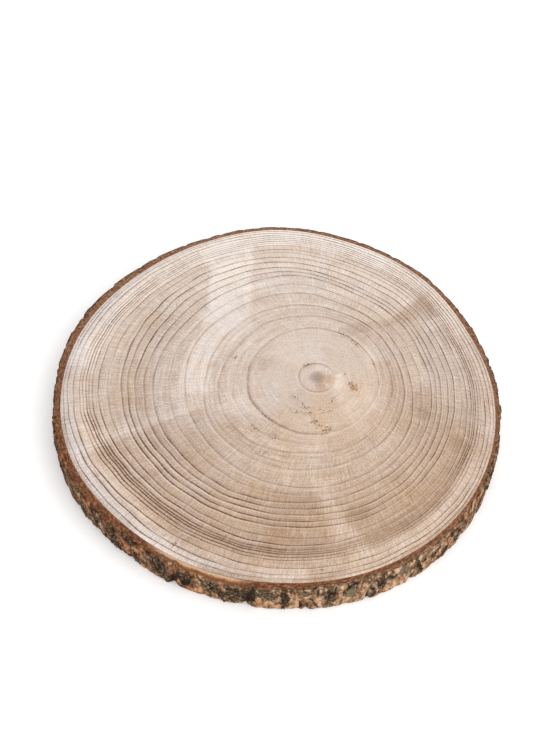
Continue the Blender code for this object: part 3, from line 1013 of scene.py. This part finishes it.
def ground_colour(tree, coordinates, known):
    """The wood's colour between its ring lines."""
    share = add(tree, "ShaderNodeSeparateXYZ", {"Vector": coordinates["spoke"]}, output="Z")
    calm = add(tree, "ShaderNodeMapRange", {0: share, 1: 0.2, 2: 0.4, 3: 0.62, 4: 1.0})
    shade = known["shade"]
    for name, fineness, strength in SHADE_PATTERNS:
        place = add(tree, "ShaderNodeVectorMath", {0: coordinates[name], 1: fineness}, operation="MULTIPLY")
        pattern = add(tree, "ShaderNodeTexNoise", {"Vector": place, "Scale": 1.0, "Detail": 2.0})
        change = add(tree, "ShaderNodeMapRange", {0: pattern, **FROM_NOISE, 3: -strength, 4: strength})
        calmed = add(tree, "ShaderNodeMath", {0: change, 1: calm}, operation="MULTIPLY")
        shade = add(tree, "ShaderNodeMath", {0: shade, 1: calmed}, operation="ADD")
    spread = add(tree, "ShaderNodeMapRange", {0: shade, 1: -0.48, 2: 1.2, 3: 0.0, 4: 1.0})
    cool = add(tree, "ShaderNodeValToRGB", {0: spread}, stops=COOL_WOOD)
    yellow = add(tree, "ShaderNodeValToRGB", {0: spread}, stops=YELLOW_WOOD)

    # The tint drifts a little over about 18 mm
    drifts = add(tree, "ShaderNodeTexNoise", {"Vector": coordinates["place"], "Scale": 1 / (18 * MM),
                 "Detail": 1.0})
    drifting = add(tree, "ShaderNodeMapRange", {0: drifts, **FROM_NOISE, 3: -4.0, 4: 4.0})
    warm = add(tree, "ShaderNodeMath", {0: known["warmth"], 1: drifting}, operation="ADD")
    how_yellow = add(tree, "ShaderNodeMapRange", {0: warm, 1: -12.0, 2: 12.0, 3: 0.0, 4: 1.0})
    return add(tree, "ShaderNodeMix", {MIX_FACTOR: how_yellow, MIX_A: cool, MIX_B: yellow}, **COLOUR_MIX)


print(len(SHADE_PATTERNS), "patterns in the ground")

# %% [markdown]
# ## The ring lines
# A ring ends in dense late wood, which darkens over a millimetre or two to a thin reddish brown line. The
# next year starts at once with pale early wood. So there are three parts to a line: a dark core, a weak
# darkening before it, and a weak lightening after it. Rays and pores cut through the core, so its edge is
# ragged, and slow noise makes it stronger and weaker on its way round. In the heart the lines are more
# orange.

# %% Draw the ring lines
HEART_LINE = "#765138"
OUTER_LINE = "#603e29"
EARLY_WOOD = "#dccdc2"
# Features along the axes of a spoke: near the bark, rays 1 mm apart and waves 20 mm long on a line
RAYS = (150, 150, 40)
WAVES = (7, 7, 26)


def ring_lines(tree, coordinates, known, ground):
    """The ground with ring lines on it, how much of each point is line, and the rays that cut them."""
    rays_place = add(tree, "ShaderNodeVectorMath", {0: coordinates["spoke"], 1: RAYS}, operation="MULTIPLY")
    rays = add(tree, "ShaderNodeTexNoise", {"Vector": rays_place, "Scale": 1.0, "Detail": 2.0})
    ragged = add(tree, "ShaderNodeMapRange", {0: rays, **FROM_NOISE, 3: -0.35, 4: 0.35})
    distance = add(tree, "ShaderNodeMath", {0: known["to_line"], 1: ragged}, operation="ADD")
    core = add(tree, "ShaderNodeMapRange", {0: distance, 1: 0.3, 2: 1.3, 3: 1.0, 4: 0.0},
               interpolation_type="SMOOTHSTEP")
    late = add(tree, "ShaderNodeMapRange", {0: distance, 1: 0.8, 2: 4.0, 3: 0.16, 4: 0.0},
               interpolation_type="SMOOTHSTEP")
    before = add(tree, "ShaderNodeMath", {0: known["room"], 1: known["after_line"]}, operation="SUBTRACT",
                 use_clamp=True)
    late_side = add(tree, "ShaderNodeMath", {0: late, 1: before}, operation="MULTIPLY")
    line = add(tree, "ShaderNodeMath", {0: core, 1: late_side}, operation="MAXIMUM")

    waves_place = add(tree, "ShaderNodeVectorMath", {0: coordinates["spoke"], 1: WAVES}, operation="MULTIPLY")
    waves = add(tree, "ShaderNodeTexNoise", {"Vector": waves_place, "Scale": 1.0, "Detail": 1.0})
    waver = add(tree, "ShaderNodeMapRange", {0: waves, **FROM_NOISE, 3: 0.6, 4: 1.3})
    strength = add(tree, "ShaderNodeMath", {0: known["line_dark"], 1: waver}, operation="MULTIPLY")
    lined = add(tree, "ShaderNodeMath", {0: line, 1: strength}, operation="MULTIPLY", use_clamp=True)

    early = add(tree, "ShaderNodeMapRange", {0: known["to_line"], 1: 1.3, 2: 3.5, 3: 0.35, 4: 0.0},
                interpolation_type="SMOOTHSTEP")
    early_side = add(tree, "ShaderNodeMath", {0: early, 1: known["after_line"]}, operation="MULTIPLY")
    paler = add(tree, "ShaderNodeMath", {0: early_side, 1: known["line_dark"]}, operation="MULTIPLY")
    with_early = add(tree, "ShaderNodeMix", {MIX_FACTOR: paler, MIX_A: ground, MIX_B: linear(EARLY_WOOD)},
                     **COLOUR_MIX)
    share = add(tree, "ShaderNodeSeparateXYZ", {"Vector": coordinates["spoke"]}, output="Z")
    how_far_out = add(tree, "ShaderNodeMapRange", {0: share, 1: 0.35, 2: 0.60, 3: 0.0, 4: 1.0})
    late_wood = add(tree, "ShaderNodeMix", {MIX_FACTOR: how_far_out, MIX_A: linear(HEART_LINE),
                    MIX_B: linear(OUTER_LINE)}, **COLOUR_MIX)
    with_lines = add(tree, "ShaderNodeMix", {MIX_FACTOR: lined, MIX_A: with_early, MIX_B: late_wood},
                     **COLOUR_MIX)
    return with_lines, lined, rays


print("lines are", linear(OUTER_LINE)[:3], "at their darkest")

# %% [markdown]
# ## Sanded end grain
# The face is bare wood cut across its grain and sanded: open pores, no varnish, so it is matt, with the
# IOR of wood, about 1.5. The ground and the lines come first, then the stains, pits and checks, which fine
# noise breaks into specks. The lines and the rays also stand a few hundredths of a millimetre proud, since
# sanding wears soft early wood more, and a bump is enough for so little.

# %% Finish the wood
WOOD_NOTES = ("shade", "warmth", "to_line", "after_line", "room", "line_dark", "flaw")
STAIN = "#a87748"
PIT = "#583a25"


def sanded_end_grain():
    """The finish of the two sawn faces."""
    material, surface = start_material("sanded_end_grain")
    tree = material.node_tree
    known = {}
    for name in WOOD_NOTES:
        known[name] = add(tree, "ShaderNodeAttribute", attribute_name=name, output="Fac")
    coordinates = {
        "spoke": add(tree, "ShaderNodeAttribute", attribute_name="spoke", output="Vector"),
        "place": add(tree, "ShaderNodeTexCoord", output="Object"),
    }
    ground = ground_colour(tree, coordinates, known)
    with_lines, lined, rays = ring_lines(tree, coordinates, known, ground)

    stained = add(tree, "ShaderNodeMapRange", {0: known["flaw"], 1: 0.6, 2: 1.3, 3: 0.0, 4: 0.8})
    with_stain = add(tree, "ShaderNodeMix", {MIX_FACTOR: stained, MIX_A: with_lines, MIX_B: linear(STAIN)},
                     **COLOUR_MIX)
    pits = add(tree, "ShaderNodeTexNoise", {"Vector": coordinates["place"], "Scale": 1 / (1.3 * MM),
               "Detail": 2.0})
    specks = add(tree, "ShaderNodeMapRange", {0: pits, 1: 0.53, 2: 0.60, 3: 0.0, 4: 1.0})
    marked = add(tree, "ShaderNodeMapRange", {0: known["flaw"], 1: 0.2, 2: 0.7, 3: 0.0, 4: 0.85})
    pitted = add(tree, "ShaderNodeMath", {0: specks, 1: marked}, operation="MULTIPLY")
    with_flaws = add(tree, "ShaderNodeMix", {MIX_FACTOR: pitted, MIX_A: with_stain, MIX_B: linear(PIT)},
                     **COLOUR_MIX)
    tree.links.new(with_flaws, surface.inputs["Base Color"])

    rough = add(tree, "ShaderNodeMapRange", {0: rays, **FROM_NOISE, 3: 0.60, 4: 0.74})
    tree.links.new(rough, surface.inputs["Roughness"])
    surface.inputs["IOR"].default_value = 1.5
    height = add(tree, "ShaderNodeMath", {0: rays, 1: lined}, operation="ADD")
    bump = add(tree, "ShaderNodeBump", {"Height": height, "Strength": 0.5, "Distance": 0.05 * MM})
    tree.links.new(bump, surface.inputs["Normal"])
    return material


wood.data.materials.append(sanded_end_grain())
print("wood is finished in", wood.data.materials[0].name)

# %% [markdown]
# ## Dry bark
# Bark is cork and dead bast, rough and without any gloss, so its roughness is near 0.9. Its young surface is
# tan to rust brown, with less rust where it is pale, and has a net of fine dark cracks. Old crust stands on
# it, olive brown to black and grainy, and grey with lichen where it is least black. Noise of 1.5 to 11 mm,
# the size of real grains, flakes and blotches, varies them. The furrows get painted shade, darker the deeper
# they are.

# %% Colour the wall of the bark
TAN_BARK = [(0.30, "#2b1b0c"), (0.39, "#5a422e"), (0.48, "#7e624a"), (0.58, "#a5866a"), (0.70, "#ccb093")]
RUST_BARK = [(0.30, "#3c2211"), (0.39, "#6c442a"), (0.48, "#8e5c3d"), (0.58, "#b07d57"), (0.70, "#d0a27a")]
OLD_CRUST = [(0.36, "#180f07"), (0.45, "#302316"), (0.53, "#4c3c2c"), (0.60, "#6b5843"), (0.70, "#9a8565")]
LICHEN = "#726958"
FINE_CRACK = "#2e1c10"
CRACK_AND_FURROW_SHADE = "#22140a"
# Flakes and the net of cracks are drawn out up and down the trunk
FLAKE_STRETCH = (1.0, 1.0, 0.6)
NET_STRETCH = (1.0, 1.0, 0.55)


def wall_colour(tree, place, grains, masks):
    """Young bark with cracks and crust on it, and painted shade in the furrows."""
    upright = add(tree, "ShaderNodeVectorMath", {0: place, 1: FLAKE_STRETCH}, operation="MULTIPLY")
    flakes = add(tree, "ShaderNodeTexNoise", {"Vector": upright, "Scale": 1 / (3.5 * MM), "Detail": 3.0,
                 "Roughness": 0.6})
    chaff = add(tree, "ShaderNodeMapRange", {0: grains, **FROM_NOISE, 3: -0.07, 4: 0.07})
    by_side = add(tree, "ShaderNodeMapRange", {0: masks["pale"], 1: 0.0, 2: 1.0, 3: -0.04, 4: 0.07})
    shifted = add(tree, "ShaderNodeMath", {0: flakes, 1: by_side}, operation="ADD")
    tone = add(tree, "ShaderNodeMath", {0: shifted, 1: chaff}, operation="ADD")
    tan = add(tree, "ShaderNodeValToRGB", {0: tone}, stops=TAN_BARK)
    rust = add(tree, "ShaderNodeValToRGB", {0: tone}, stops=RUST_BARK)
    blotches = add(tree, "ShaderNodeTexNoise", {"Vector": place, "Scale": 1 / (11 * MM), "Detail": 2.0})
    rusty = add(tree, "ShaderNodeMapRange", {0: blotches, 1: 0.46, 2: 0.60, 3: 0.0, 4: 0.95})
    rust_left = add(tree, "ShaderNodeMapRange", {0: masks["pale"], 1: 0.2, 2: 1.0, 3: 1.0, 4: 0.35})
    rusted = add(tree, "ShaderNodeMath", {0: rusty, 1: rust_left}, operation="MULTIPLY")
    young = add(tree, "ShaderNodeMix", {MIX_FACTOR: rusted, MIX_A: tan, MIX_B: rust}, **COLOUR_MIX)

    net_place = add(tree, "ShaderNodeVectorMath", {0: place, 1: NET_STRETCH}, operation="MULTIPLY")
    net = add(tree, "ShaderNodeTexVoronoi", {"Vector": net_place, "Scale": 1 / (3.2 * MM)},
              feature="DISTANCE_TO_EDGE", output="Distance")
    thin = add(tree, "ShaderNodeMapRange", {0: net, 1: 0.02, 2: 0.14, 3: 0.72, 4: 0.0})
    cracked = add(tree, "ShaderNodeMapRange", {0: blotches, 1: 0.44, 2: 0.56, 3: 1.0, 4: 0.25})
    netted = add(tree, "ShaderNodeMath", {0: thin, 1: cracked}, operation="MULTIPLY")

    darker = add(tree, "ShaderNodeMapRange", {0: masks["black"], 1: 0.3, 2: 1.0, 3: 0.06, 4: -0.05})
    crust_tone = add(tree, "ShaderNodeMath", {0: grains, 1: darker}, operation="ADD")
    crust = add(tree, "ShaderNodeValToRGB", {0: crust_tone}, stops=OLD_CRUST)
    mossy = add(tree, "ShaderNodeMapRange", {0: masks["black"], 1: 0.15, 2: 0.40, 3: 0.50, 4: 0.0})
    lichened = add(tree, "ShaderNodeMix", {MIX_FACTOR: mossy, MIX_A: crust, MIX_B: linear(LICHEN)},
                   **COLOUR_MIX)

    colour = young
    # The last layer darkens the cracks and paints shade into the furrows, the deeper ones darker
    layers = [(netted, linear(FINE_CRACK)), (masks["crust"], lichened), (masks["crack_and_furrow_shade"], linear(CRACK_AND_FURROW_SHADE))]
    for mask, over in layers:
        colour = add(tree, "ShaderNodeMix", {MIX_FACTOR: mask, MIX_A: colour, MIX_B: over}, **COLOUR_MIX)
    return colour


print("the wall has young bark, cracks and crust")

# %% [markdown]
# ## The sawn band
# The sawn edge of the bark is reddish brown and shows its layers: a dark seam beside the wood, a thin pale
# layer of live bast, and brown dead bark outside. Where the edge chipped off, the pale layer is wide and
# ends in rusty brown. On the right and at the back, weather has made the band paler and greyer. A ramp
# across the band gives the layers, and noise squeezed across it gives the thin ones in the dead bark.

# %% Colour the sawn band and finish the bark
SAWN_BAND = [(0.0, "#6b4a37"), (0.10, "#8d6b52"), (0.22, "#65402b"), (0.34, "#744c35"), (0.7, "#6a432c"),
             (1.0, "#5e3b28")]
CHIPPED_BAND = [(0.0, "#9d7f68"), (0.10, "#cbae92"), (0.30, "#bb9878"), (0.43, "#8b6040"), (0.62, "#6f4529"),
                (1.0, "#7d5537")]
DEAD_BARK = [(0.34, "#2c150a"), (0.44, "#4d2a19"), (0.52, "#6b4129"), (0.60, "#83573b"), (0.68, "#9c7050")]
GREYED_BAND = [(0.36, "#5b3c2a"), (0.46, "#7f5c46"), (0.54, "#93705a"), (0.66, "#c0977a")]


def band_colour(tree, place, grains, masks):
    """The sawn top of the bark, in its layers from the wood outwards."""
    waver = add(tree, "ShaderNodeMapRange", {0: grains, **FROM_NOISE, 3: -0.07, 4: 0.07})
    across = add(tree, "ShaderNodeMath", {0: masks["across"], 1: waver}, operation="ADD")
    plain = add(tree, "ShaderNodeValToRGB", {0: across}, stops=SAWN_BAND)
    chipped = add(tree, "ShaderNodeValToRGB", {0: across}, stops=CHIPPED_BAND)
    layered = add(tree, "ShaderNodeMix", {MIX_FACTOR: masks["fresh"], MIX_A: plain, MIX_B: chipped},
                  **COLOUR_MIX)

    x = add(tree, "ShaderNodeSeparateXYZ", {"Vector": place}, output="X")
    y = add(tree, "ShaderNodeSeparateXYZ", {"Vector": place}, output="Y")
    layer = add(tree, "ShaderNodeMath", {0: masks["across"], 1: 9 * MM}, operation="MULTIPLY")
    in_layers = add(tree, "ShaderNodeCombineXYZ", {"X": x, "Y": y, "Z": layer})
    layers = add(tree, "ShaderNodeTexNoise", {"Vector": in_layers, "Scale": 1 / (2.4 * MM), "Detail": 2.0})
    dead = add(tree, "ShaderNodeValToRGB", {0: layers}, stops=DEAD_BARK)
    how_dead = add(tree, "ShaderNodeMapRange", {0: masks["fresh"], 1: 0.0, 2: 1.0, 3: 0.65, 4: 0.2})
    band = add(tree, "ShaderNodeMix", {MIX_FACTOR: how_dead, MIX_A: layered, MIX_B: dead}, **COLOUR_MIX)
    grey = add(tree, "ShaderNodeValToRGB", {0: grains}, stops=GREYED_BAND)
    return add(tree, "ShaderNodeMix", {MIX_FACTOR: masks["greyed"], MIX_A: band, MIX_B: grey}, **COLOUR_MIX)


def dry_bark():
    """The finish of the whole bark."""
    material, surface = start_material("dry_bark")
    tree = material.node_tree
    place = add(tree, "ShaderNodeTexCoord", output="Object")
    masks = {}
    for name in BARK_NOTES:
        masks[name] = add(tree, "ShaderNodeAttribute", attribute_name=name, output="Fac")
    grains = add(tree, "ShaderNodeTexNoise", {"Vector": place, "Scale": 1 / (1.5 * MM), "Detail": 3.0,
                 "Roughness": 0.65})
    wall_look = wall_colour(tree, place, grains, masks)
    band_look = band_colour(tree, place, grains, masks)
    colour = add(tree, "ShaderNodeMix", {MIX_FACTOR: masks["sawn"], MIX_A: wall_look, MIX_B: band_look},
                 **COLOUR_MIX)
    tree.links.new(colour, surface.inputs["Base Color"])
    rough = add(tree, "ShaderNodeMapRange", {0: grains, **FROM_NOISE, 3: 0.82, 4: 0.96})
    tree.links.new(rough, surface.inputs["Roughness"])
    surface.inputs["Specular IOR Level"].default_value = 0.1
    bump = add(tree, "ShaderNodeBump", {"Height": grains, "Strength": 0.75, "Distance": 0.5 * MM})
    tree.links.new(bump, surface.inputs["Normal"])
    return material


bark.data.materials.append(dry_bark())
print("bark is finished in", bark.data.materials[0].name)

# %% [markdown]
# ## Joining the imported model
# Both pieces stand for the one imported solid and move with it. They are shaded smooth, and edges sharper
# than 50 degrees stay sharp, so the face keeps a clean edge and the bark its creases.

# %% Join the model
SHARP_FROM = math.radians(50)
for piece, finish in ((wood, "wood"), (bark, "bark")):
    piece.data.shade_smooth()
    piece.data.set_sharp_from_angle(angle=SHARP_FROM)
    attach(piece, "root")
    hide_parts("log_slice")
print("wood and bark ride on the slice")

# %% [markdown]
# ## Floor and light
# The photograph has a plain white background and soft light from all round, with a little more from the
# front right, where the bark is brightest. A pale floor, a bright even sky and one large lamp give that.
# The lamp is wide and the floor is bright, so the slice only gets a faint, soft shadow.

# %% Set up floor and light
LAMP_SIZE = 1.8
LAMP_POWER = 15.0
LAMP_PLACE = Vector((0.65, -0.9, 1.0))
SKY_STRENGTH = 1.02
HALF_FLOOR = 3.0
# The floor lies this far below the slice, so that their faces don't flicker through each other
FLOOR_GAP = 0.02 * MM


def pale_floor():
    """Matt white paper, with clouds of half a metre that are only just there."""
    material, surface = start_material("pale_floor")
    tree = material.node_tree
    place = add(tree, "ShaderNodeTexCoord", output="Object")
    clouds = add(tree, "ShaderNodeTexNoise", {"Vector": place, "Scale": 2.0, "Detail": 2.0})
    colour = add(tree, "ShaderNodeValToRGB", {0: clouds}, stops=[(0.3, "#fafafa"), (0.7, "#fcfcfc")])
    tree.links.new(colour, surface.inputs["Base Color"])
    surface.inputs["Roughness"].default_value = 0.9
    return material


corners = [(-HALF_FLOOR, -HALF_FLOOR, 0), (HALF_FLOOR, -HALF_FLOOR, 0), (HALF_FLOOR, HALF_FLOOR, 0),
           (-HALF_FLOOR, HALF_FLOOR, 0)]
floor_mesh = bpy.data.meshes.new("floor")
floor_mesh.from_pydata(corners, [], [(0, 1, 2, 3)])
floor = bpy.data.objects.new("floor", floor_mesh)
floor.location.z = -FLOOR_GAP
floor.data.materials.append(pale_floor())
bpy.context.scene.collection.objects.link(floor)

lamp = bpy.data.objects.new("lamp", bpy.data.lights.new("lamp", "AREA"))
lamp.data.shape = "SQUARE"
lamp.data.size = LAMP_SIZE
lamp.data.energy = LAMP_POWER
lamp.location = LAMP_PLACE
lamp.rotation_euler = (-LAMP_PLACE).to_track_quat("-Z", "Y").to_euler()
bpy.context.scene.collection.objects.link(lamp)

world = bpy.data.worlds.new("sky")
world.use_nodes = True
world.node_tree.nodes["Background"].inputs["Color"].default_value = (1, 1, 1, 1)
world.node_tree.nodes["Background"].inputs["Strength"].default_value = SKY_STRENGTH
bpy.context.scene.world = world
bpy.context.scene.view_settings.view_transform = "Standard"
print("lamp of", LAMP_POWER, "W, sky at", SKY_STRENGTH)
